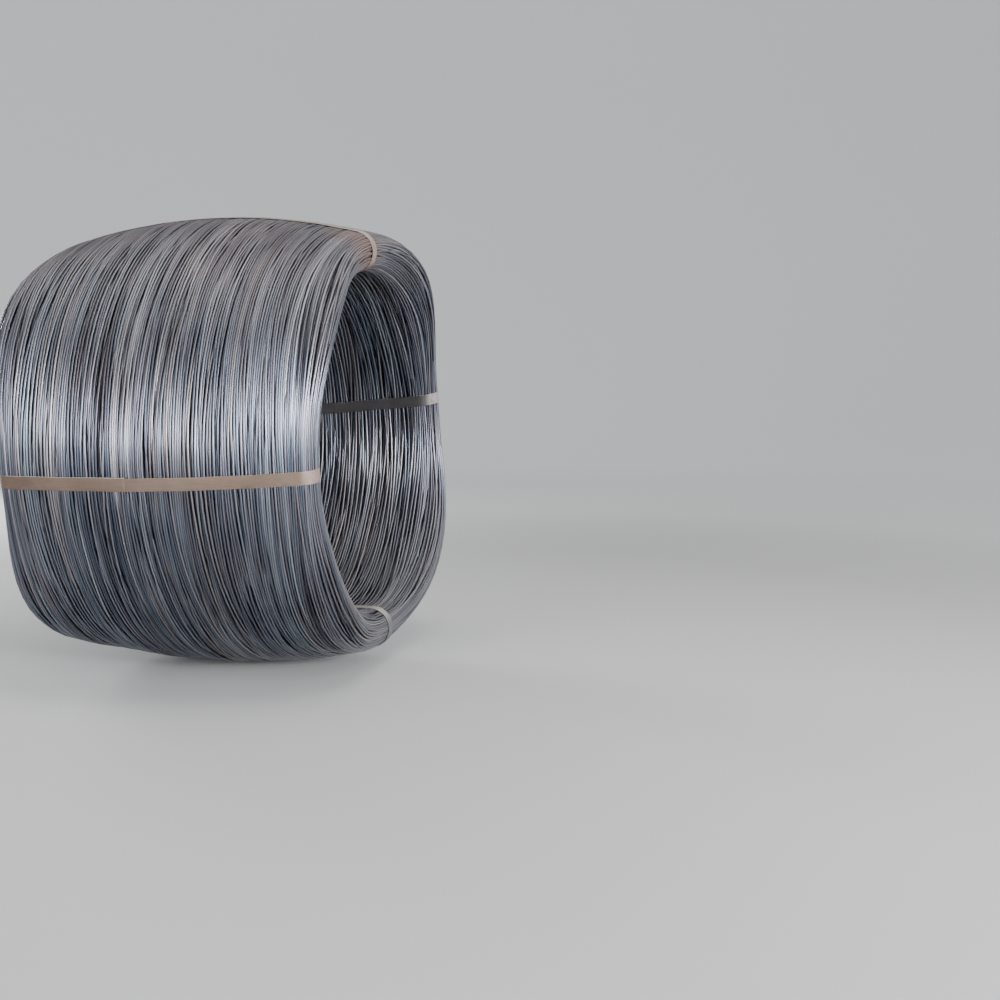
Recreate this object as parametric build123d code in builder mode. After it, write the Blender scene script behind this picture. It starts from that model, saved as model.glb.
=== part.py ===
from build123d import *
import math
import os

# ---------------------------------------------------------------------------
# Coil of wire rod, lying on its side with its axis level.
# Millimetres, +Z up. X runs along the coil's axis, Y is to the side.
# The origin is on the floor, straight below the middle of the coil.
# ---------------------------------------------------------------------------

# --- the coil ---------------------------------------------------------------
R_CROWN = 600.0        # outside radius of the coil at mid length
R_SHOULDER = 583.0     # outside radius where the end roundings begin
X_SHOULDER = 372.0     # half length of the barrel, up to the end roundings
X_END = 443.5          # half of the overall length, between the straps
R_RIM = 545.0          # radius of the foremost ring of each end
R_BORE = 450.0         # radius of the bore
X_BORE = 358.0         # half length of the bore's straight wall
WIRE = 5.5             # diameter of the wire
TURN_PITCH = 11.0      # spacing of the outermost turns on the ends
TURN_RISE = 0.4 * WIRE # how far a turn stands out of the end
AXIS_Z = R_CROWN       # height of the axis: the barrel touches the floor

# --- the straps -------------------------------------------------------------
STRAP_W = 32.0
STRAP_T = 1.0
STRAP_X = 373.0        # half length of the strap's bowed outer run
STRAP_R_MID = 598.7    # strap's wire side, at mid length
STRAP_R_END = 554.5    # strap's wire side, at the ends of the outer run
STRAP_R_BORE = 450.6   # strap's wire side, in the bore: it is sunk into the wall
SEAT_W = 33.0          # width of the seat pressed into the turns
SADDLE_HALF = 150.0    # half width of the dip in the end, at each strap

# each strap's place round the axis at mid length, in degrees from straight up
# towards +Y, and how far it is turned off the axis, in degrees
STRAPS = {
    "strap_top": (-8.0, 0.0),
    "strap_back": (81.5, -4.4),
    "strap_bottom": (178.0, 0.0),
    "strap_front": (263.4, 1.4),
}


def strap_plane(angle, skew):
    """The plane of a strap. Its y points outward at this angle from straight
    up, towards +Y. Its x is the coil's axis, turned by skew towards greater
    angles."""
    a, k = math.radians(angle), math.radians(skew)
    side = (math.cos(a), -math.sin(a))
    return Plane(origin=(0, 0, AXIS_Z),
                 x_dir=(math.cos(k), math.sin(k) * side[0], math.sin(k) * side[1]),
                 z_dir=(math.sin(k), -math.cos(k) * side[0], -math.cos(k) * side[1]))


def end_turns():
    """Points of one end's rounding, from the shoulder round to the bore,
    one for each valley between two turns."""
    depth_out = X_END - TURN_RISE - X_SHOULDER
    depth_in = X_END - TURN_RISE - X_BORE
    up = R_SHOULDER - R_RIM
    down = R_RIM - R_BORE - TURN_RISE
    fine = []
    for i in range(401):
        t = math.pi / 2 * i / 400
        fine.append((X_SHOULDER + depth_out * math.sin(t), R_RIM + up * math.cos(t)))
    for i in range(1, 401):
        t = math.pi / 2 * i / 400
        fine.append((X_BORE + depth_in * math.cos(t), R_RIM - down * math.sin(t)))
    run = [0.0]
    for p, q in zip(fine, fine[1:]):
        run.append(run[-1] + math.dist(p, q))
    count = round(run[-1] / TURN_PITCH)
    pts, k = [], 0
    for i in range(count + 1):
        s = run[-1] * i / count
        while k < len(run) - 2 and run[k + 1] < s:
            k += 1
        f = (s - run[k]) / (run[k + 1] - run[k])
        pts.append((fine[k][0] + f * (fine[k + 1][0] - fine[k][0]),
                    fine[k][1] + f * (fine[k + 1][1] - fine[k][1])))
    return pts


def bumped(p, q):
    """Top of the turn that stands between two valleys."""
    dx, dy = q[0] - p[0], q[1] - p[1]
    n = math.hypot(dx, dy)
    return ((p[0] + q[0]) / 2 - dy / n * TURN_RISE, (p[1] + q[1]) / 2 + dx / n * TURN_RISE)


# The strap's path: a bowed run over the barrel, one round turn over each end
# that meets both runs smoothly, and a straight run through the bore.
rise = STRAP_R_MID - STRAP_R_END
bow_r = (STRAP_X ** 2 + rise ** 2) / (2 * rise)
bow_end = math.asin(STRAP_X / bow_r)
turn_r = (STRAP_R_END - STRAP_R_BORE) / (1 + math.cos(bow_end))
turn_cx = STRAP_X - turn_r * math.sin(bow_end)
turn_cy = STRAP_R_BORE + turn_r
STRAP_X_END = turn_cx + turn_r
print("strap: bow radius %.1f, turn radius %.1f, half length %.1f"
      % (bow_r, turn_r, STRAP_X_END))


def strap_loop(grow):
    """The strap's path, grown outward by this much, as a closed line."""
    r = turn_r + grow
    mid = -bow_end / 2
    top = (turn_cx + r * math.sin(bow_end), turn_cy + r * math.cos(bow_end))
    nose = (turn_cx + r * math.cos(mid), turn_cy + r * math.sin(mid))
    low = (turn_cx, turn_cy - r)
    ThreePointArc((-top[0], top[1]), (0, STRAP_R_MID + grow), top)
    ThreePointArc(top, nose, low)
    Line(low, (-low[0], low[1]))
    ThreePointArc((-low[0], low[1]), (-nose[0], nose[1]), (-top[0], top[1]))


# ---------------------------------------------------------------------------
# wire_rod: the coil, turned in one piece with its bore. Rings on both ends
# are its outermost turns. Each end dips to a strap, and each strap lies in a
# seat that it has pressed into the turns.
# ---------------------------------------------------------------------------
valleys = end_turns()
with BuildPart() as wire_rod:
    with BuildSketch(Plane(origin=(0, 0, AXIS_Z), x_dir=(1, 0, 0), z_dir=(0, -1, 0))):
        with BuildLine():
            ThreePointArc((-X_SHOULDER, R_SHOULDER), (0, R_CROWN), (X_SHOULDER, R_SHOULDER))
            for p, q in zip(valleys, valleys[1:]):
                ThreePointArc(p, bumped(p, q), q)
            # the last turn stands level with the bore, not inside it
            Polyline(valleys[-1], (X_BORE - TURN_RISE, R_BORE),
                     (TURN_RISE - X_BORE, R_BORE), (-valleys[-1][0], valleys[-1][1]))
            for q, p in reversed(list(zip(valleys, valleys[1:]))):
                b = bumped(q, p)
                ThreePointArc((-p[0], p[1]), (-b[0], b[1]), (-q[0], q[1]))
        make_face()
    revolve(axis=Axis((0, 0, AXIS_Z), (1, 0, 0)), revolution_arc=360)

    # a shallow dip in each end at each strap
    dip = X_END - STRAP_X_END + 0.3
    saddle_r = (SADDLE_HALF ** 2 + dip ** 2) / (2 * dip)
    for angle, skew in STRAPS.values():
        for side in (-1, 1):
            # the strap's angle where it goes round this end
            a = math.radians(angle) + side * X_END * math.tan(math.radians(skew)) / R_RIM
            out = (0, math.sin(a), math.cos(a))
            x = side * (X_END - dip + saddle_r)
            with BuildSketch(Plane(origin=(x, out[1] * 380, AXIS_Z + out[2] * 380),
                                   x_dir=(1, 0, 0), z_dir=out)):
                Circle(saddle_r)
            extrude(amount=260, mode=Mode.SUBTRACT)

    # the seats of the straps
    for angle, skew in STRAPS.values():
        with BuildSketch(strap_plane(angle, skew)):
            with BuildLine():
                Polyline((-500, 400), (500, 400), (500, 640), (-500, 640), close=True)
            make_face()
            with BuildLine():
                strap_loop(0.0)
            make_face(mode=Mode.SUBTRACT)
        extrude(amount=SEAT_W / 2, both=True, mode=Mode.SUBTRACT)

wire_rod.part.label = "wire_rod"

# ---------------------------------------------------------------------------
# the four straps: flat steel bands, each round one side of the coil and back
# through its bore
# ---------------------------------------------------------------------------
bands = {}
for name, (angle, skew) in STRAPS.items():
    with BuildPart() as band:
        with BuildSketch(strap_plane(angle, skew)):
            with BuildLine():
                strap_loop(STRAP_T)
            make_face()
            with BuildLine():
                strap_loop(0.0)
            make_face(mode=Mode.SUBTRACT)
        extrude(amount=STRAP_W / 2, both=True)
    band.part.label = name
    bands[name] = band

os.makedirs("parts", exist_ok=True)
export_step(wire_rod.part, "parts/wire_rod.step")
for name, band in bands.items():
    export_step(band.part, "parts/%s.step" % name)
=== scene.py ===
import math

import bpy
import numpy as np
from mathutils import Matrix, Vector


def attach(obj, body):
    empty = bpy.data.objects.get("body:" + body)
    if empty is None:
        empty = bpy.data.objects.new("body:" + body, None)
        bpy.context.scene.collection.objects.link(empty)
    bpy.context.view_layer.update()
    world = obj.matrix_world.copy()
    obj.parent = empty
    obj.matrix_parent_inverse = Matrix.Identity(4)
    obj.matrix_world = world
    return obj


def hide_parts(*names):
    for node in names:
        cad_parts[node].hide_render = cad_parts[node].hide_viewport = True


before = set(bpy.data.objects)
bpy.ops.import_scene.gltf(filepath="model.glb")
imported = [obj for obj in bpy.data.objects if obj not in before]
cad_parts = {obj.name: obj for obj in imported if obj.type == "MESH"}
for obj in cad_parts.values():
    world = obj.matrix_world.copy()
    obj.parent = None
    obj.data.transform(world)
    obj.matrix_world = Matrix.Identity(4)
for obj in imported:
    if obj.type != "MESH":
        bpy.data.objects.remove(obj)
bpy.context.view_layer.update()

# ---------------------------------------------------------------------------
# Sizes, in metres. X is the coil's axis, Z is up, the floor is at 0.
# An angle round the axis is measured from straight up towards +Y.
# ---------------------------------------------------------------------------
AXIS_Z = 0.600
WIRE_R = 0.00275
TURNS = 1600
STEPS = 72                    # points to a turn
SIDES = 6                     # sides of the wire where it can be seen
SEEN = 0.034                  # depth under the coil's surface to which it can be seen
# each strap's angle round the axis at mid length, and how far it is turned off the axis
STRAPS = {"strap_top": (-8.0, 0.0), "strap_back": (81.5, -4.4),
          "strap_bottom": (178.0, 0.0), "strap_front": (263.4, 1.4)}

# The coil's section at a strap, and half way between two straps.
# Rm, Rs: outside radius at mid length and at Xs. Xo, Bo: middle and height of the
# outer rounding. Xi: middle of the inner rounding. Xe, Rr: foremost point. Rb: bore.
AT_STRAP = dict(Rm=0.5985, Rs=0.5543, Xs=0.3730, Xo=0.3607, Bo=0.0524, Xi=0.3607, Xe=0.4131, Rr=0.5033, Rb=0.4508)
BETWEEN = dict(Rm=0.6000, Rs=0.5830, Xs=0.3720, Xo=0.3660, Bo=0.0385, Xi=0.3580, Xe=0.4435, Rr=0.5450, Rb=0.4500)


# ---------------------------------------------------------------------------
# The camera
# ---------------------------------------------------------------------------
def add_camera():
    focal = 1450.0
    place = Vector((1.633, -3.671, 0.224 + AXIS_Z))
    yaw, pitch, roll = 0.24244535, -0.09841298, -0.00638340
    fwd = Vector((-math.sin(yaw) * math.cos(pitch), math.cos(yaw) * math.cos(pitch), math.sin(pitch)))
    right = fwd.cross(Vector((0, 0, 1))).normalized()
    up = right.cross(fwd)
    c, s = math.cos(roll), math.sin(roll)
    right, up = c * right + s * up, -s * right + c * up
    data = bpy.data.cameras.new("camera")
    data.sensor_width = 36.0
    data.lens = focal / 1000.0 * 36.0
    data.clip_start, data.clip_end = 0.05, 100.0
    cam = bpy.data.objects.new("camera", data)
    bpy.context.scene.collection.objects.link(cam)
    m = Matrix((right, up, -fwd)).transposed().to_4x4()
    m.translation = place
    cam.matrix_world = m
    bpy.context.scene.camera = cam
    return cam


add_camera()


# ---------------------------------------------------------------------------
# The coil's section. pinch is 0 at a strap and 1 half way between two.
# ---------------------------------------------------------------------------
def pinch_at(theta, x):
    """How far a place on the coil is from the straps on both sides of it, 0 to 1."""
    at = [math.radians(a) + x * math.tan(math.radians(k)) / 0.55 for a, k in sorted(STRAPS.values())]
    at.append(at[0] + 2 * math.pi)
    t = (theta - at[0]) % (2 * math.pi) + at[0]
    out = np.zeros_like(t)
    half = math.radians(2.8)
    for lo, hi in zip(at, at[1:]):
        f = np.clip((t - lo - half) / (hi - lo - 2 * half), 0, 1)
        out = np.where((t >= lo) & (t < hi), np.sin(math.pi * f) ** 2, out)
    return out


def section(pinch):
    """Each size of the section, at these values of pinch."""
    return {k: AT_STRAP[k] + (BETWEEN[k] - AT_STRAP[k]) * pinch for k in AT_STRAP}


def bow(ax, s):
    """The outside radius along the barrel: a circle through its middle and its shoulder."""
    rise = s["Rm"] - s["Rs"]
    big = (s["Xs"] ** 2 + rise ** 2) / (2 * rise)
    return s["Rm"] - big + np.sqrt(big * big - ax * ax)


def edges(x, s, a=0.0):
    """The outer and the inner radius of the section at x, less a wire's radius a."""
    ax = np.abs(x)
    outer = bow(ax, s) - a
    t = np.clip((ax - s["Xo"]) / (s["Xe"] - a - s["Xo"]), 0.0, 1.0)
    outer = np.minimum(outer, np.where(ax > s["Xo"], s["Rr"] + (s["Bo"] - a) * np.sqrt(1 - t * t), 9.0))
    t = np.clip((ax - s["Xi"]) / (s["Xe"] - a - s["Xi"]), 0.0, 1.0)
    inner = np.where(ax > s["Xi"], s["Rr"] - (s["Rr"] - s["Rb"] - a) * np.sqrt(1 - t * t), s["Rb"] + a)
    return outer, inner


def confine(x, r, s, a, dent, sink, draw):
    """Moves points that are outside the section to its edge. dent lowers the barrel, sink
    widens the bore and draw shortens the coil, each by this much."""
    sign = np.sign(x)
    ax = np.abs(x)
    xe = s["Xe"] - a - draw
    r = np.minimum(r, bow(np.minimum(ax, s["Xs"] + 0.02), s) - a - dent)
    r = np.maximum(r, np.where(ax < s["Xi"], s["Rb"] + a + sink, 0.0))
    # the outer part of an end
    du, dv = xe - s["Xo"], s["Bo"] - a - 0.5 * dent
    u, v = (ax - s["Xo"]) / du, (r - s["Rr"]) / dv
    rho = np.hypot(u, v)
    m = (ax > s["Xo"]) & (v > 0) & (rho > 1)
    ax = np.where(m, s["Xo"] + u * du / rho, ax)
    r = np.where(m, s["Rr"] + v * dv / rho, r)
    # the inner part of an end
    du, dv = xe - s["Xi"], s["Rr"] - s["Rb"] - a - sink
    u, v = (ax - s["Xi"]) / du, (s["Rr"] - r) / dv
    rho = np.hypot(u, v)
    m = (ax > s["Xi"]) & (v > 0) & (rho > 1)
    ax = np.where(m, s["Xi"] + u * du / rho, ax)
    r = np.where(m, s["Rr"] - v * dv / rho, r)
    return sign * ax, r


# ---------------------------------------------------------------------------
# Noise made of a few seeded waves, and noise along the wire
# ---------------------------------------------------------------------------
def waves(seed, n, lo, hi, most=4):
    """n random waves over the coil: (cycles round it, cycles along it, phase, size)."""
    rng = np.random.default_rng(seed)
    return [(int(rng.integers(0, most + 1)), rng.uniform(lo, hi), rng.uniform(0, 2 * math.pi),
             rng.uniform(0.5, 1.0)) for _ in range(n)]


def sum_waves(ws, theta, x):
    out = 0.0
    for m, f, ph, size in ws:
        out = out + size * np.cos(m * theta + 2 * math.pi * f * x + ph)
    return out / math.sqrt(sum(w[3] ** 2 for w in ws) / 2)


def along(rng, n, spacing):
    """A smooth random curve over n points, about 1 in size, with a knot every spacing points."""
    k = int(n / spacing) + 4
    knots = rng.standard_normal(k)
    t = np.arange(n) / spacing + 1
    i = t.astype(int)
    f = t - i
    a, b, c, d = knots[i - 1], knots[i], knots[np.minimum(i + 1, k - 1)], knots[np.minimum(i + 2, k - 1)]
    return 0.5 * (2 * b + (c - a) * f + (2 * a - 5 * b + 4 * c - d) * f ** 2 + (3 * b - a - 3 * c + d) * f ** 3)


# ---------------------------------------------------------------------------
# The wire's path: one wire in TURNS loose turns. Each turn lies off centre, so
# it comes to the barrel on one side and to the bore on the other. The turns are
# then pushed apart from each other, round by round, and kept in the section.
# ---------------------------------------------------------------------------
def lay_wire():
    rng = np.random.default_rng(20)
    n = TURNS * STEPS
    i = np.arange(n)
    j = i % STEPS
    theta = 2 * math.pi * (j + 0.5) / STEPS
    a = WIRE_R

    # the share of the wire that lies before each x, for a few values of pinch
    grid = np.linspace(0, 1, 9)
    table = []
    for p in grid:
        sp = section(p)
        xs = np.linspace(-(sp["Xe"] - a), sp["Xe"] - a, 801)
        o, q = edges(xs, sp, a)
        crowd = 1 + (1.0 - 1.15 * p) * np.clip((np.abs(xs) - sp["Xe"] + 0.085) / 0.04, 0, 1)
        area = (o - q) * crowd
        area = np.concatenate([[0], np.cumsum(area[1:] + area[:-1])])
        table.append(np.interp(np.linspace(0, 1, 801), area / area[-1], xs))
    table = np.array(table)

    def x_of(u, p):
        u = np.clip(u, 0, 1) * 800
        p = np.clip(p, 0, 1) * 8
        ui, pi = np.minimum(u.astype(int), 799), np.minimum(p.astype(int), 7)
        fu, fp = u - ui, p - pi
        return ((1 - fp) * ((1 - fu) * table[pi, ui] + fu * table[pi, ui + 1])
                + fp * ((1 - fu) * table[pi + 1, ui] + fu * table[pi + 1, ui + 1]))

    u = (i + 0.5) / n
    u = 0.003 + 0.994 * u + 0.012 * along(rng, n, STEPS * 0.8) + 0.004 * along(rng, n, STEPS * 0.33)
    u = np.abs(u)
    u = 1 - np.abs(1 - u)
    pinch = pinch_at(theta, x_of(u, np.full(n, 0.5)))
    s = section(pinch)
    x = x_of(u, pinch)
    phase = 2 * math.pi * np.cumsum(1.0 / (17.0 + 5.0 * np.clip(along(rng, n, STEPS * 12), -2, 2))) / STEPS
    phase = phase + 0.9 * along(rng, n, STEPS * 1.3)
    size = np.clip(1.00 + 0.22 * along(rng, n, STEPS * 1.2), 0.3, 1.22)
    off = 0.10 * along(rng, n, STEPS * 1.5)
    q = np.clip(size * np.cos(theta - phase) + off, -1, 1)
    # as many turns at each depth
    q = 0.45 * q + 0.55 * np.arcsin(q) / (math.pi / 2)
    # fewer of them at the bore, where they lie loose
    q = np.where(q < 0, -np.abs(q) ** 2.1, q)
    outer, inner = edges(x, s, a)
    r = (outer + inner) / 2 + q * (outer - inner) / 2

    # how much room each stretch of wire takes
    room = 0.0046 * (1 + 0.32 * np.clip(along(rng, n, STEPS * 0.7), -1.6, 1.9))

    # how far the barrel and the bore are from true, not at all under a strap
    dents, sinks, draws = waves(5, 12, 1.0, 6.0), waves(6, 10, 1.0, 6.0), waves(7, 6, 0.0, 0.5, 7)
    # shallow valleys between groups of turns, all the way round the barrel
    vr = np.random.default_rng(11)
    valleys = []
    at_x = -0.40
    while at_x < 0.40:
        valleys.append((at_x, vr.uniform(0.0045, 0.0085), vr.uniform(0.0016, 0.0046), vr.uniform(0, 6.28), vr.uniform(0, 6.28)))
        at_x += vr.uniform(0.030, 0.062)
    level = np.clip(pinch * 3, 0, 1)

    m = 6
    smooth = np.hanning(2 * m + 3)[1:-1]
    smooth /= smooth.sum()
    cell = 0.0160
    nx, nr = 64, 17
    x0, r0 = -0.4900, 0.4250
    hard = 0.0056
    rounds = 100
    for it in range(rounds):
        outer, inner = edges(x, s, a)
        at_end = np.clip((np.abs(x) - s["Xe"] + 0.085) / 0.04, 0, 1)
        near_in = np.clip(1 - (r - inner) / 0.030, 0, 1)
        near_out = np.clip(1 - (outer - r) / 0.014, 0, 1)
        w = room * (1 + (1.2 * near_in + 0.14 * near_out) * (1 - at_end) - (0.38 - 0.50 * pinch) * at_end)
        cx = ((x - x0) / cell).astype(int)
        cr = ((r - r0) / cell).astype(int)
        key = (j * nx + cx) * nr + cr
        order = np.argsort(key, kind="stable")
        sk = key[order]
        sx, sr, sw = x[order], r[order], w[order]
        dx, dr = np.zeros(n), np.zeros(n)
        here = np.arange(n)
        for ox, orr in ((0, 0), (0, 1), (1, -1), (1, 0), (1, 1)):
            want = sk + ox * nr + orr
            first = np.searchsorted(sk, want, "left")
            last = np.searchsorted(sk, want, "right")
            if ox == 0 and orr == 0:
                first = here + 1
            most = int((last - first).max())
            for t in range(min(most, 12)):
                other = first + t
                ok = other < last
                p, o = here[ok], other[ok]
                ex, er = sx[o] - sx[p], sr[o] - sr[p]
                d = np.hypot(ex, er)
                soft = np.minimum(sw[o] + sw[p], cell)
                near = d < soft
                p, o, ex, er, soft, d = p[near], o[near], ex[near], er[near], soft[near], np.maximum(d[near], 1e-5)
                push = (0.5 * np.maximum(hard - d, 0) + 0.05 * (soft - d)) / d
                px, pr = push * ex, push * er
                dx += np.bincount(o, px, n) - np.bincount(p, px, n)
                dr += np.bincount(o, pr, n) - np.bincount(p, pr, n)
        mx, mr = np.empty(n), np.empty(n)
        mx[order], mr[order] = dx, dr
        # the outermost turns are drawn out to the surface, on the barrel and on the ends
        mr += 0.00012 * np.clip(1 - (outer - r) / 0.010, 0, 1) * (1 - at_end)
        ax = np.abs(x)
        below = r < s["Rr"]
        xo = np.where(below, s["Xi"], s["Xo"])
        du = s["Xe"] - a - xo
        dv = np.where(below, s["Rr"] - s["Rb"] - a, s["Bo"] - a)
        gu, gv = (ax - xo) / du, (r - s["Rr"]) / dv
        rho = np.maximum(np.hypot(gu, gv), 0.2)
        pull = (0.00016 - 0.00010 * pinch) * np.clip(1 - (1 - rho) * du / 0.018, 0, 1) * (ax > xo)
        nu, nv = gu / du, gv / dv
        nn = np.maximum(np.hypot(nu, nv), 1e-6)
        mx += np.sign(x) * pull * nu / nn
        mr += pull * nv / nn
        mx = np.convolve(mx, smooth, "same")
        mr = np.convolve(mr, smooth, "same")
        x = x + np.clip(1.4 * mx, -0.003, 0.003)
        r = r + np.clip(1.4 * mr, -0.003, 0.003)
        # a wire is stiff: what bends it sharply is undone
        for _ in range(2 if it < rounds - 3 else 8):
            for v in (x, r):
                e = v[:-2] - 2 * v[1:-1] + v[2:]
                e2 = e[:-2] - 2 * e[1:-1] + e[2:]
                v[2:-2] -= 0.06 * e2
        if it % 4 == 0 or it == rounds - 1:
            dent = 0.0018 * level * (1 + np.clip(sum_waves(dents, theta, x) * 0.7, -1, 1))
            for vx, wide, depth, ph, ph2 in valleys:
                d = (x - vx - 0.010 * np.sin(theta + ph)) / wide
                dent = dent + (0.3 + 0.7 * level) * depth * (0.65 + 0.35 * np.sin(2 * theta + ph2)) * np.exp(-d * d)
            sink = 0.0020 * level * (1 + np.clip(sum_waves(sinks, theta, x) * 0.7, -1, 1))
            draw = 0.0015 * level * (1 + np.clip(sum_waves(draws, theta, r * 3), -1, 1))
        x, r = confine(x, r, s, a, dent, sink, draw)
    return x, r, theta, s


def hidden_runs(x, r, s):
    """True where the wire lies too deep in the coil to be seen."""
    outer, inner = edges(x, s, 0.0)
    end = s["Xe"] - np.abs(x)
    deep = np.minimum(np.minimum(outer - r, r - inner), end) > SEEN
    # a short hidden stretch is drawn like its neighbours
    n = len(x)
    k = np.ones(5)
    deep = np.convolve(deep, k, "same") >= 4.5
    deep = np.convolve(deep, k, "same") >= 0.5
    deep[0] = deep[-1] = False
    return deep


def add_mesh(name, verts, faces_flat, counts, smooth=None):
    me = bpy.data.meshes.new(name)
    me.vertices.add(len(verts))
    me.vertices.foreach_set("co", np.ascontiguousarray(verts, dtype=np.float32).ravel())
    me.loops.add(len(faces_flat))
    me.loops.foreach_set("vertex_index", np.ascontiguousarray(faces_flat, dtype=np.int32))
    me.polygons.add(len(counts))
    starts = np.concatenate([[0], np.cumsum(counts)[:-1]]).astype(np.int32)
    me.polygons.foreach_set("loop_start", starts)
    me.polygons.foreach_set("loop_total", np.ascontiguousarray(counts, dtype=np.int32))
    me.polygons.foreach_set("use_smooth", np.full(len(counts), True) if smooth is None else smooth)
    me.update(calc_edges=True)
    me.validate()
    ob = bpy.data.objects.new(name, me)
    bpy.context.scene.collection.objects.link(ob)
    return ob


def frames_along(path):
    """Two directions across the path, at each point."""
    t = np.empty_like(path)
    t[1:-1] = path[2:] - path[:-2]
    t[0], t[-1] = path[1] - path[0], path[-1] - path[-2]
    t /= np.linalg.norm(t, axis=1)[:, None]
    e1 = np.array([1.0, 0, 0]) - t * t[:, :1]
    e1 /= np.linalg.norm(e1, axis=1)[:, None]
    return e1, np.cross(t, e1)


def tubes(path, e1, e2, run, radius, sides):
    """Closed round tubes: one for each stretch of points with the same run number."""
    n = len(path)
    ang = 2 * math.pi * (np.arange(sides) + 0.5) / sides
    verts = (path[:, None, :] + radius * (np.cos(ang)[None, :, None] * e1[:, None, :]
                                          + np.sin(ang)[None, :, None] * e2[:, None, :])).reshape(-1, 3)
    on = np.nonzero(run[1:] == run[:-1])[0]
    i = on[:, None] * sides
    k = np.arange(sides)[None, :]
    k2 = (k + 1) % sides
    quads = np.stack([i + k, i + k2, i + sides + k2, i + sides + k], axis=2).reshape(-1)
    first = np.nonzero(np.concatenate([[True], run[1:] != run[:-1]]))[0]
    last = np.nonzero(np.concatenate([run[1:] != run[:-1], [True]]))[0]
    back = first[:, None] * sides + np.arange(sides)[None, ::-1]
    front = last[:, None] * sides + np.arange(sides)[None, :]
    counts = np.concatenate([np.full(len(on) * sides, 4), np.full(len(first) * 2, sides)])
    smooth = np.arange(len(counts)) < len(on) * sides
    return verts, np.concatenate([quads, back.ravel(), front.ravel()]), counts, smooth

# ---------------------------------------------------------------------------
# Straps: flat bands with rounded edges, round one side of the coil and back
# through its bore. The front one shows the end that laps over its beginning.
# ---------------------------------------------------------------------------
STRAP_W = 0.032
STRAP_T = 0.0009
LAP_FROM, LAP_TO = -0.055, -0.395    # where the lap lies on the front strap, along X


def strap_path():
    """Points and outward directions of a strap's wire side, in its own plane, once round,
    from mid length on the outside towards +X, and the length run at each point."""
    xs, rm, re, rb = 0.3730, 0.5987, 0.5545, 0.4506
    rise = rm - re
    big = (xs * xs + rise * rise) / (2 * rise)
    turn = math.asin(xs / big)
    rad = (re - rb) / (1 + math.cos(turn))
    cx, cy = xs - rad * math.sin(turn), rb + rad
    pts = []
    for t in np.linspace(0, turn, 64, endpoint=False):
        pts.append((big * math.sin(t), rm - big + big * math.cos(t), math.sin(t), math.cos(t)))
    for t in np.linspace(turn, math.pi, 48, endpoint=False):
        pts.append((cx + rad * math.sin(t), cy + rad * math.cos(t), math.sin(t), math.cos(t)))
    for t in np.linspace(cx, -cx, 96, endpoint=False):
        pts.append((t, rb, 0.0, -1.0))
    for t in np.linspace(math.pi, turn, 48, endpoint=False):
        pts.append((-cx - rad * math.sin(t), cy + rad * math.cos(t), -math.sin(t), math.cos(t)))
    for t in np.linspace(turn, 0, 64, endpoint=False):
        pts.append((-big * math.sin(t), rm - big + big * math.cos(t), -math.sin(t), math.cos(t)))
    p = np.array(pts)
    run = np.concatenate([[0], np.cumsum(np.hypot(np.diff(p[:, 0]), np.diff(p[:, 1])))])
    return p, run


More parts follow.
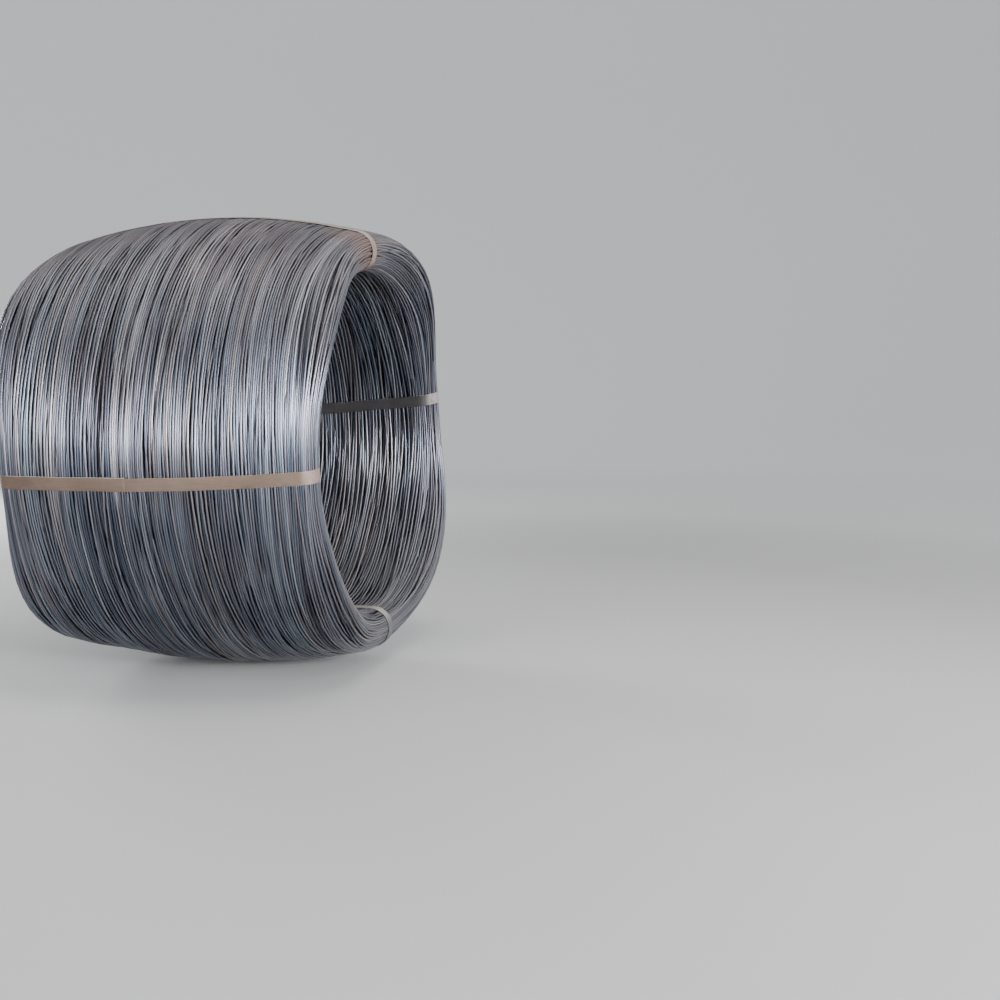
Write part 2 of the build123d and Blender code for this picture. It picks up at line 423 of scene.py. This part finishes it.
def band_mesh(name, angle, skew, seed, lap):
    """One strap. lap: (from, to) along the outside, or None for a plain closed band."""
    p, run = strap_path()
    total = run[-1] + math.hypot(p[0, 0] - p[-1, 0], p[0, 1] - p[-1, 1])
    ext = np.concatenate([p, p, p[:1]])
    far = np.concatenate([run, run + total, [2 * total]])
    step = 0.005
    if lap:
        # starts under the lap, goes round once and on over its own beginning
        start = np.interp(lap[1], p[-64:, 0], run[-64:])
        end = start + total + (lap[0] - lap[1]) * 1.01
        s = np.linspace(start, end, int((end - start) / step))
        lift = STRAP_T * 1.05 * np.clip((s - (start + total - 0.035)) / 0.030, 0, 1)
        lift = lift * lift * (3 * STRAP_T * 1.05 - 2 * lift) / (STRAP_T * 1.05) ** 2
        shift = 0.0018 * np.clip((s - (start + total - 0.15)) / 0.15, 0, 1)
    else:
        s = np.linspace(0, total, int(total / step), endpoint=False)
        lift = shift = np.zeros(len(s))
    q = np.stack([np.interp(s, far, ext[:, k]) for k in range(4)], axis=1)
    q[:, 2:] /= np.hypot(q[:, 2], q[:, 3])[:, None]
    rng = np.random.default_rng(seed)
    # the band gives a little over the turns below it
    sway = 0.0006 * np.sin(2 * math.pi * s / total * 3 + rng.uniform(0, 6)) + 0.0003 * np.sin(2 * math.pi * s / total * 11 + rng.uniform(0, 6))
    ripple = 0.00010 * along(rng, len(s), 3.0) + 0.00010 * along(rng, len(s), 7.0)
    ripple = np.clip(ripple, -0.0002, 0.0003) + 0.0001
    if not lap:
        fade = np.clip(np.minimum(s, total - s) / 0.05, 0, 1)
        ripple = ripple * fade
        sway = sway * fade
    h, e = STRAP_W / 2, 0.00028
    shape = [(-h, e), (-h + e, 0), (h - e, 0), (h, e), (h, STRAP_T - e), (h - e, STRAP_T), (-h + e, STRAP_T), (-h, STRAP_T - e)]
    # more points across, so that the band can cup slightly
    wide = [(w, 0.0) for w in [-h + e, -h + 0.001, -0.010, -0.005, 0.0, 0.005, 0.010, h - 0.001, h - e]]
    shape = [(-h, e)] + wide + [(h, e), (h, STRAP_T - e)] + [(w, STRAP_T) for w, _ in wide[::-1]] + [(-h, STRAP_T - e)]
    shape = np.array(shape)
    m = len(shape)
    a, k = math.radians(angle), math.radians(skew)
    w = shape[None, :, 0] + (sway + shift)[:, None]
    t = shape[None, :, 1] + (lift + ripple)[:, None]
    # the band bends round the coil with the turns below it
    xl = q[:, None, 0] + t * q[:, None, 2]
    rad = q[:, None, 1] + t * q[:, None, 3]
    arc = a + (xl * math.sin(k) + w * math.cos(k)) / rad
    flat = q[:, None, 3] ** 2          # 1 on the barrel and in the bore, 0 at the ends
    verts = np.stack([xl - w * math.sin(k) * flat, rad * np.sin(arc), AXIS_Z + rad * np.cos(arc)], axis=2).reshape(-1, 3)
    n = len(s)
    last = n - 1 if lap else n
    i = np.arange(last)[:, None] * m
    i2 = ((np.arange(last) + 1) % n)[:, None] * m
    c = np.arange(m)[None, :]
    c2 = (c + 1) % m
    quads = np.stack([i + c, i2 + c, i2 + c2, i + c2], axis=2).reshape(-1)
    counts = np.full(last * m, 4)
    if lap:
        caps = np.concatenate([np.arange(m), (n - 1) * m + np.arange(m)[::-1]])
        quads, counts = np.concatenate([quads, caps]), np.concatenate([counts, [m, m]])
    ob = add_mesh(name, verts, quads, counts)
    # painted highlight along the slit edge of the lap, where the edge catches the light
    lap_glint = np.zeros((n, m))
    if lap:
        edge = (shape[:, 0] > h - 1.5 * e).astype(float)
        lap_glint += edge[None, :] * np.clip((s - (start + total - 0.02)) / 0.02, 0, 1)[:, None]
    at = ob.data.attributes.new("lap_edge_highlight", "FLOAT", "POINT")
    at.data.foreach_set("value", lap_glint.ravel().astype(np.float32))
    return ob


# ---------------------------------------------------------------------------
# Materials
# ---------------------------------------------------------------------------
def new_material(name):
    mat = bpy.data.materials.new(name)
    mat.use_nodes = True
    nt = mat.node_tree
    for nd in list(nt.nodes):
        nt.nodes.remove(nd)
    out = nt.nodes.new("ShaderNodeOutputMaterial")
    bsdf = nt.nodes.new("ShaderNodeBsdfPrincipled")
    nt.links.new(bsdf.outputs["BSDF"], out.inputs["Surface"])
    return mat, nt, bsdf


def noise_node(nt, coord, scale, detail=3.0, rough=0.5):
    nd = nt.nodes.new("ShaderNodeTexNoise")
    nd.inputs["Scale"].default_value = scale
    nd.inputs["Detail"].default_value = detail
    nd.inputs["Roughness"].default_value = rough
    nt.links.new(coord, nd.inputs["Vector"])
    return nd.outputs["Fac"]


def map_range(nt, value, a, b, c, d, clamp=True):
    nd = nt.nodes.new("ShaderNodeMapRange")
    nd.clamp = clamp
    for key, v in (("From Min", a), ("From Max", b), ("To Min", c), ("To Max", d)):
        nd.inputs[key].default_value = v
    nt.links.new(value, nd.inputs["Value"])
    return nd.outputs["Result"]


def math_node(nt, op, a, b, clamp=False):
    nd = nt.nodes.new("ShaderNodeMath")
    nd.operation = op
    nd.use_clamp = clamp
    for i, v in enumerate((a, b)):
        if isinstance(v, (int, float)):
            nd.inputs[i].default_value = v
        else:
            nt.links.new(v, nd.inputs[i])
    return nd.outputs[0]


def ramp_node(nt, fac, stops):
    nd = nt.nodes.new("ShaderNodeValToRGB")
    cr = nd.color_ramp
    while len(cr.elements) < len(stops):
        cr.elements.new(0.5)
    for el, (at, col) in zip(cr.elements, stops):
        el.position = at
        el.color = (*col, 1)
    nt.links.new(fac, nd.inputs["Fac"])
    return nd.outputs["Color"]


def mix_node(nt, fac, a, b):
    nd = nt.nodes.new("ShaderNodeMix")
    nd.data_type = "RGBA"
    for key, v in (("Factor", fac), ("A", a), ("B", b)):
        if isinstance(v, tuple):
            nd.inputs[key].default_value = (*v, 1)
        elif isinstance(v, (int, float)):
            nd.inputs[key].default_value = v
        else:
            nt.links.new(v, nd.inputs[key])
    return nd.outputs["Result"]


def wire_material():
    mat, nt, bsdf = new_material("wire_mill_scale")
    L = nt.links.new
    geo = nt.nodes.new("ShaderNodeNewGeometry")
    coord = nt.nodes.new("ShaderNodeTexCoord").outputs["Object"]
    shade = nt.nodes.new("ShaderNodeAttribute")
    shade.attribute_name = "turn_shade"
    broad = noise_node(nt, coord, 7.0, 4.0)
    fine = noise_node(nt, coord, 220.0, 3.0, 0.6)
    # mill scale, from dark blue-grey to bright where it has rubbed off
    tone = math_node(nt, "ADD", math_node(nt, "MULTIPLY", shade.outputs["Fac"], 0.56),
                     math_node(nt, "MULTIPLY", broad, 0.30))
    tone = math_node(nt, "ADD", tone, 0.11)
    scale = ramp_node(nt, tone, [(0.20, (0.045, 0.053, 0.076)), (0.50, (0.140, 0.154, 0.190)),
                                 (0.72, (0.29, 0.30, 0.33)), (0.95, (0.55, 0.55, 0.56))])
    # some stretches are bluer and some browner
    hue = nt.nodes.new("ShaderNodeAttribute")
    hue.attribute_name = "turn_hue"
    tinge = ramp_node(nt, hue.outputs["Fac"], [(0.12, (1.0, 0.88, 0.82)), (0.38, (0.975, 0.935, 0.985)),
                                              (0.62, (0.93, 0.965, 1.0)), (0.90, (0.82, 0.92, 1.0))])
    tinged = nt.nodes.new("ShaderNodeMix")
    tinged.data_type = "RGBA"
    tinged.blend_type = "MULTIPLY"
    tinged.inputs["Factor"].default_value = 1.0
    L(scale, tinged.inputs["A"])
    L(tinge, tinged.inputs["B"])
    scale = tinged.outputs["Result"]
    # a breath of rust in places
    rust_at = map_range(nt, noise_node(nt, coord, 2.6, 5.0, 0.62), 0.50, 0.74, 0.0, 0.28)
    scale = mix_node(nt, rust_at, scale, (0.170, 0.105, 0.082))
    # the coil has stood under something wet: rust at the top, where the strap goes round the end
    spot = nt.nodes.new("ShaderNodeVectorMath")
    spot.operation = "DISTANCE"
    spot.inputs[1].default_value = (0.400, -0.115, 1.095)
    L(coord, spot.inputs[0])
    spot_at = map_range(nt, spot.outputs["Value"], 0.030, 0.135, 0.62, 0.0)
    # dust on what faces up
    up = nt.nodes.new("ShaderNodeSeparateXYZ")
    L(geo.outputs["Normal"], up.inputs[0])
    dust = map_range(nt, up.outputs["Z"], -0.05, 0.85, 0.0, 0.80)
    place = nt.nodes.new("ShaderNodeSeparateXYZ")
    L(coord, place.inputs[0])
    high = map_range(nt, place.outputs["Z"], 0.86, 1.14, 0.0, 0.32)
    # dust = 1 - (1 - dust) * (1 - high)
    dust = math_node(nt, "SUBTRACT", math_node(nt, "ADD", dust, high), math_node(nt, "MULTIPLY", dust, high))
    dust = math_node(nt, "MULTIPLY", dust, map_range(nt, fine, 0.30, 0.70, 0.70, 1.0))
    dust = math_node(nt, "MULTIPLY", dust, map_range(nt, broad, 0.25, 0.70, 0.75, 1.0))
    tint = ramp_node(nt, noise_node(nt, coord, 3.1, 3.0), [(0.36, (0.148, 0.138, 0.138)), (0.66, (0.185, 0.147, 0.140))])
    tint = mix_node(nt, math_node(nt, "MULTIPLY", shade.outputs["Fac"], 0.45), tint, (0.26, 0.245, 0.25))
    colour = mix_node(nt, dust, scale, tint)
    colour = mix_node(nt, spot_at, colour, (0.26, 0.160, 0.128))
    L(colour, bsdf.inputs["Base Color"])
    L(map_range(nt, dust, 0.0, 1.0, 0.29, 0.66), bsdf.inputs["Roughness"])
    L(map_range(nt, dust, 0.0, 1.0, 0.92, 0.20), bsdf.inputs["Metallic"])
    bump = nt.nodes.new("ShaderNodeBump")
    bump.inputs["Strength"].default_value = 0.2
    bump.inputs["Distance"].default_value = 0.0004
    L(fine, bump.inputs["Height"])
    L(bump.outputs["Normal"], bsdf.inputs["Normal"])
    return mat


def strap_material(name, dark, mid, light, bend_highlight):
    mat, nt, bsdf = new_material(name)
    L = nt.links.new
    coord = nt.nodes.new("ShaderNodeTexCoord").outputs["Object"]
    broad = noise_node(nt, coord, 9.0, 6.0, 0.6)
    fine = noise_node(nt, coord, 140.0, 4.0, 0.6)
    stretch = nt.nodes.new("ShaderNodeMapping")
    stretch.inputs["Scale"].default_value = (6.0, 160.0, 160.0)
    L(coord, stretch.inputs["Vector"])
    scratch = noise_node(nt, stretch.outputs["Vector"], 1.0, 3.0, 0.7)
    tone = math_node(nt, "ADD", math_node(nt, "MULTIPLY", broad, 0.6), math_node(nt, "MULTIPLY", scratch, 0.4))
    colour = ramp_node(nt, tone, [(0.30, dark), (0.52, mid), (0.75, light)])
    # painted highlight along the lap's edge
    edge = nt.nodes.new("ShaderNodeAttribute")
    edge.attribute_name = "lap_edge_highlight"
    colour = mix_node(nt, edge.outputs["Fac"], colour, (0.62, 0.58, 0.55))
    # painted highlight where the strap bends round the coil's ends: a paler colour standing in for the reflection of
    # bright light on the bend
    place = nt.nodes.new("ShaderNodeSeparateXYZ")
    L(coord, place.inputs[0])
    bend = map_range(nt, math_node(nt, "ABSOLUTE", place.outputs["X"], 0.0), 0.390, 0.411, 0.0, 0.60)
    bend = math_node(nt, "MULTIPLY", bend, map_range(nt, fine, 0.35, 0.55, 0.6, 1.0))
    colour = mix_node(nt, bend, colour, bend_highlight)
    # dust on what faces up
    geo = nt.nodes.new("ShaderNodeNewGeometry")
    up = nt.nodes.new("ShaderNodeSeparateXYZ")
    L(geo.outputs["Normal"], up.inputs[0])
    dust = math_node(nt, "MULTIPLY", map_range(nt, up.outputs["Z"], 0.25, 0.90, 0.0, 0.90), map_range(nt, broad, 0.3, 0.6, 0.75, 1.0))
    colour = mix_node(nt, dust, colour, (0.36, 0.32, 0.285))
    L(colour, bsdf.inputs["Base Color"])
    L(map_range(nt, dust, 0.0, 1.0, 0.35, 0.05), bsdf.inputs["Metallic"])
    rough = map_range(nt, math_node(nt, "ADD", math_node(nt, "MULTIPLY", fine, 0.5), math_node(nt, "MULTIPLY", broad, 0.5)),
                      0.3, 0.7, 0.34, 0.56)
    L(math_node(nt, "ADD", rough, math_node(nt, "MULTIPLY", dust, 0.3)), bsdf.inputs["Roughness"])
    bump = nt.nodes.new("ShaderNodeBump")
    bump.inputs["Strength"].default_value = 0.25
    bump.inputs["Distance"].default_value = 0.0003
    L(math_node(nt, "ADD", fine, scratch), bump.inputs["Height"])
    L(bump.outputs["Normal"], bsdf.inputs["Normal"])
    return mat


# ---------------------------------------------------------------------------
# The wire: fine where it can be seen, coarse deep inside the coil
# ---------------------------------------------------------------------------
x, r, theta, sec = lay_wire()
path = np.stack([x, r * np.sin(theta), AXIS_Z + r * np.cos(theta)], axis=1)
deep = hidden_runs(x, r, sec)
e1, e2 = frames_along(path)
wire_mat = wire_material()
shade_rng = np.random.default_rng(3)
shade = np.clip(0.5 + 0.20 * along(shade_rng, len(path), STEPS * 0.9) + 0.12 * along(shade_rng, len(path), STEPS * 0.25), 0, 1)
hue = np.clip(0.5 + 0.20 * along(shade_rng, len(path), STEPS * 1.4) + 0.10 * along(shade_rng, len(path), STEPS * 0.3), 0, 1)
CHUNKS = 8
per = TURNS // CHUNKS
triangles = 0
for c in range(CHUNKS):
    lo = c * per * STEPS
    hi = min((c + 1) * per * STEPS + 1, len(path)) if c < CHUNKS - 1 else len(path)
    seen = ~deep[lo:hi]
    seen[0] = seen[-1] = True
    run = np.cumsum(np.concatenate([[0], (seen[1:] != seen[:-1]).astype(int)]))
    pick = np.nonzero(seen)[0]
    v, f, cnt, smooth = tubes(path[lo:hi][pick], e1[lo:hi][pick], e2[lo:hi][pick], run[pick], WIRE_R * 1.04, SIDES)
    sh = np.repeat(shade[lo:hi][pick], SIDES)
    hu = np.repeat(hue[lo:hi][pick], SIDES)
    # the stretches between, from the last fine point to the next
    inside = ~seen
    wide = inside.copy()
    wide[1:] |= inside[:-1]
    wide[:-1] |= inside[1:]
    start = wide & ~np.concatenate([[False], wide[:-1]])
    group = np.cumsum(start)
    first = np.nonzero(start)[0]
    if len(first):
        place = np.arange(hi - lo) - first[np.maximum(group, 1) - 1]
        stop = wide & ~np.concatenate([wide[1:], [False]])
        pick2 = np.nonzero(wide & ((place % 3 == 0) | stop))[0]
        v2, f2, cnt2, smooth2 = tubes(path[lo:hi][pick2], e1[lo:hi][pick2], e2[lo:hi][pick2], group[pick2], WIRE_R, 3)
        f = np.concatenate([f, f2 + len(v)])
        v = np.concatenate([v, v2])
        cnt = np.concatenate([cnt, cnt2])
        smooth = np.concatenate([smooth, smooth2])
        sh = np.concatenate([sh, np.repeat(shade[lo:hi][pick2], 3)])
        hu = np.concatenate([hu, np.repeat(hue[lo:hi][pick2], 3)])
    triangles += int((cnt - 2).sum())
    print("wire_turns_%d: %d triangles" % (c + 1, int((cnt - 2).sum())))
    ob = add_mesh("wire_turns_%d" % (c + 1), v, f, cnt, smooth)
    at = ob.data.attributes.new("turn_shade", "FLOAT", "POINT")
    at.data.foreach_set("value", sh.astype(np.float32))
    at = ob.data.attributes.new("turn_hue", "FLOAT", "POINT")
    at.data.foreach_set("value", hu.astype(np.float32))
    ob.data.materials.append(wire_mat)
    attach(ob, "root")
    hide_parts("wire_rod")
print("wire: %d triangles in all, %.0f%% of its length drawn fine" % (triangles, 100 - 100 * deep.mean()))

# ---------------------------------------------------------------------------
# The straps
# ---------------------------------------------------------------------------
# the last colour given to each strap material is its painted highlight at the bends
strap_mat = strap_material("strap_steel", (0.100, 0.066, 0.049), (0.151, 0.104, 0.079), (0.202, 0.148, 0.116), (0.40, 0.30, 0.265))
# painted shade: the bottom and back straps are the same tan strapping as the others, given greyer and darker copies of
# its material for the shade they lie in
strap_shaded_grey = strap_material("strap_steel_shaded_grey", (0.058, 0.057, 0.064), (0.090, 0.088, 0.099), (0.130, 0.128, 0.143), (0.15, 0.148, 0.167))
strap_shaded_dark = strap_material("strap_steel_shaded_dark", (0.030, 0.028, 0.029), (0.052, 0.048, 0.050), (0.083, 0.076, 0.078), (0.62, 0.53, 0.50))
for i, (name, (angle, skew)) in enumerate(STRAPS.items()):
    ob = band_mesh(name + "_band", angle, skew, 40 + i, (LAP_FROM, LAP_TO) if name == "strap_front" else None)
    # the back and bottom straps take the painted-shade copies
    ob.data.materials.append({"strap_back": strap_shaded_dark, "strap_bottom": strap_shaded_grey}.get(name, strap_mat))
    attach(ob, "root")
    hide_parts(name)


# ---------------------------------------------------------------------------
# Floor, backdrop and light
# ---------------------------------------------------------------------------
def add_stage():
    """A pale floor that curves up into a round backdrop, far from the coil."""
    flat, bend, tall = 6.0, 6.0, 2.0
    prof = [(0.0, 0.0)] + [(flat * t, 0.0) for t in (0.25, 0.5, 0.75, 1.0)]
    prof += [(flat + bend * math.sin(t), bend - bend * math.cos(t)) for t in np.linspace(0, math.pi / 2, 33)[1:]]
    prof += [(flat + bend, bend + tall * t) for t in (0.33, 0.66, 1.0)]
    prof = np.array(prof)
    sides = 96
    ang = 2 * math.pi * np.arange(sides) / sides
    ring = prof[1:]
    verts = np.concatenate([[[0, 0, 0]], np.stack([
        (ring[:, None, 0] * np.cos(ang)).ravel(), (ring[:, None, 0] * np.sin(ang)).ravel(),
        np.repeat(ring[:, 1], sides)], axis=1)])
    k = np.arange(sides)
    k2 = (k + 1) % sides
    tris = np.stack([np.zeros(sides, int), 1 + k, 1 + k2], axis=1).ravel()
    faces, counts = [tris], [np.full(sides, 3)]
    for i in range(len(ring) - 1):
        b = 1 + i * sides
        faces.append(np.stack([b + k, b + sides + k, b + sides + k2, b + k2], axis=1).ravel())
        counts.append(np.full(sides, 4))
    ob = add_mesh("floor", verts, np.concatenate(faces), np.concatenate(counts))
    mat, nt, bsdf = new_material("floor")
    bsdf.inputs["Base Color"].default_value = (0.55, 0.55, 0.545, 1)
    bsdf.inputs["Roughness"].default_value = 0.9
    bsdf.inputs["Specular IOR Level"].default_value = 0.2
    # the backdrop glows a little, so that it is as pale as the floor
    away = nt.nodes.new("ShaderNodeVectorMath")
    away.operation = "LENGTH"
    nt.links.new(nt.nodes.new("ShaderNodeTexCoord").outputs["Object"], away.inputs[0])
    bsdf.inputs["Emission Color"].default_value = (0.95, 0.97, 1.0, 1)
    glow = ramp_node(nt, map_range(nt, away.outputs["Value"], 0.0, 12.0, 0.0, 1.0),
                     [(at, (g, g, g)) for at, g in ((0.20, 0.0), (0.26, 0.08), (0.33, 0.23), (0.42, 0.31),
                                                    (0.56, 0.36), (0.75, 0.345), (1.0, 0.325))])
    nt.links.new(glow, bsdf.inputs["Emission Strength"])
    ob.data.materials.append(mat)
    return ob


def add_area(name, place, target, size_x, size_y, power, colour=(1, 1, 1), spread=180):
    data = bpy.data.lights.new(name, "AREA")
    data.shape = "RECTANGLE"
    data.size, data.size_y = size_x, size_y
    data.energy = power
    data.color = colour
    data.spread = math.radians(spread)
    ob = bpy.data.objects.new(name, data)
    bpy.context.scene.collection.objects.link(ob)
    d = Vector(target) - Vector(place)
    ob.matrix_world = Matrix.Translation(Vector(place)) @ d.to_track_quat("-Z", "Y").to_matrix().to_4x4()
    ob.visible_camera = False
    return ob


add_stage()
world = bpy.data.worlds.new("studio")
world.use_nodes = True
world.node_tree.nodes["Background"].inputs["Color"].default_value = (0.86, 0.89, 0.94, 1)
world.node_tree.nodes["Background"].inputs["Strength"].default_value = 0.18
bpy.context.scene.world = world
add_area("overhead", (1.3, -0.6, 5.0), (0, 0, 0.6), 1.6, 4.0, 108, (1.0, 0.97, 0.95))
add_area("front", (-1.6, -6.5, 1.28), (0, 0, 0.62), 2.6, 1.4, 84, (1.0, 1.0, 1.0), 100)
add_area("right", (5.2, -3.6, 1.5), (0.3, 0, 0.6), 2.2, 1.2, 162, (0.96, 0.985, 1.0), 100)
add_area("right_high", (4.4, -3.2, 3.4), (0.2, 0, 0.7), 1.6, 1.6, 60, (1.0, 0.985, 0.97))
add_area("side", (6.0, -0.9, 1.05), (0.3, 0, 0.6), 1.3, 0.8, 35, (0.93, 0.97, 1.0), 100)
add_area("back_left", (-5.1, 4.2, 1.5), (-0.3, 0, 0.6), 2.4, 1.2, 145, (0.97, 0.99, 1.0), 100)
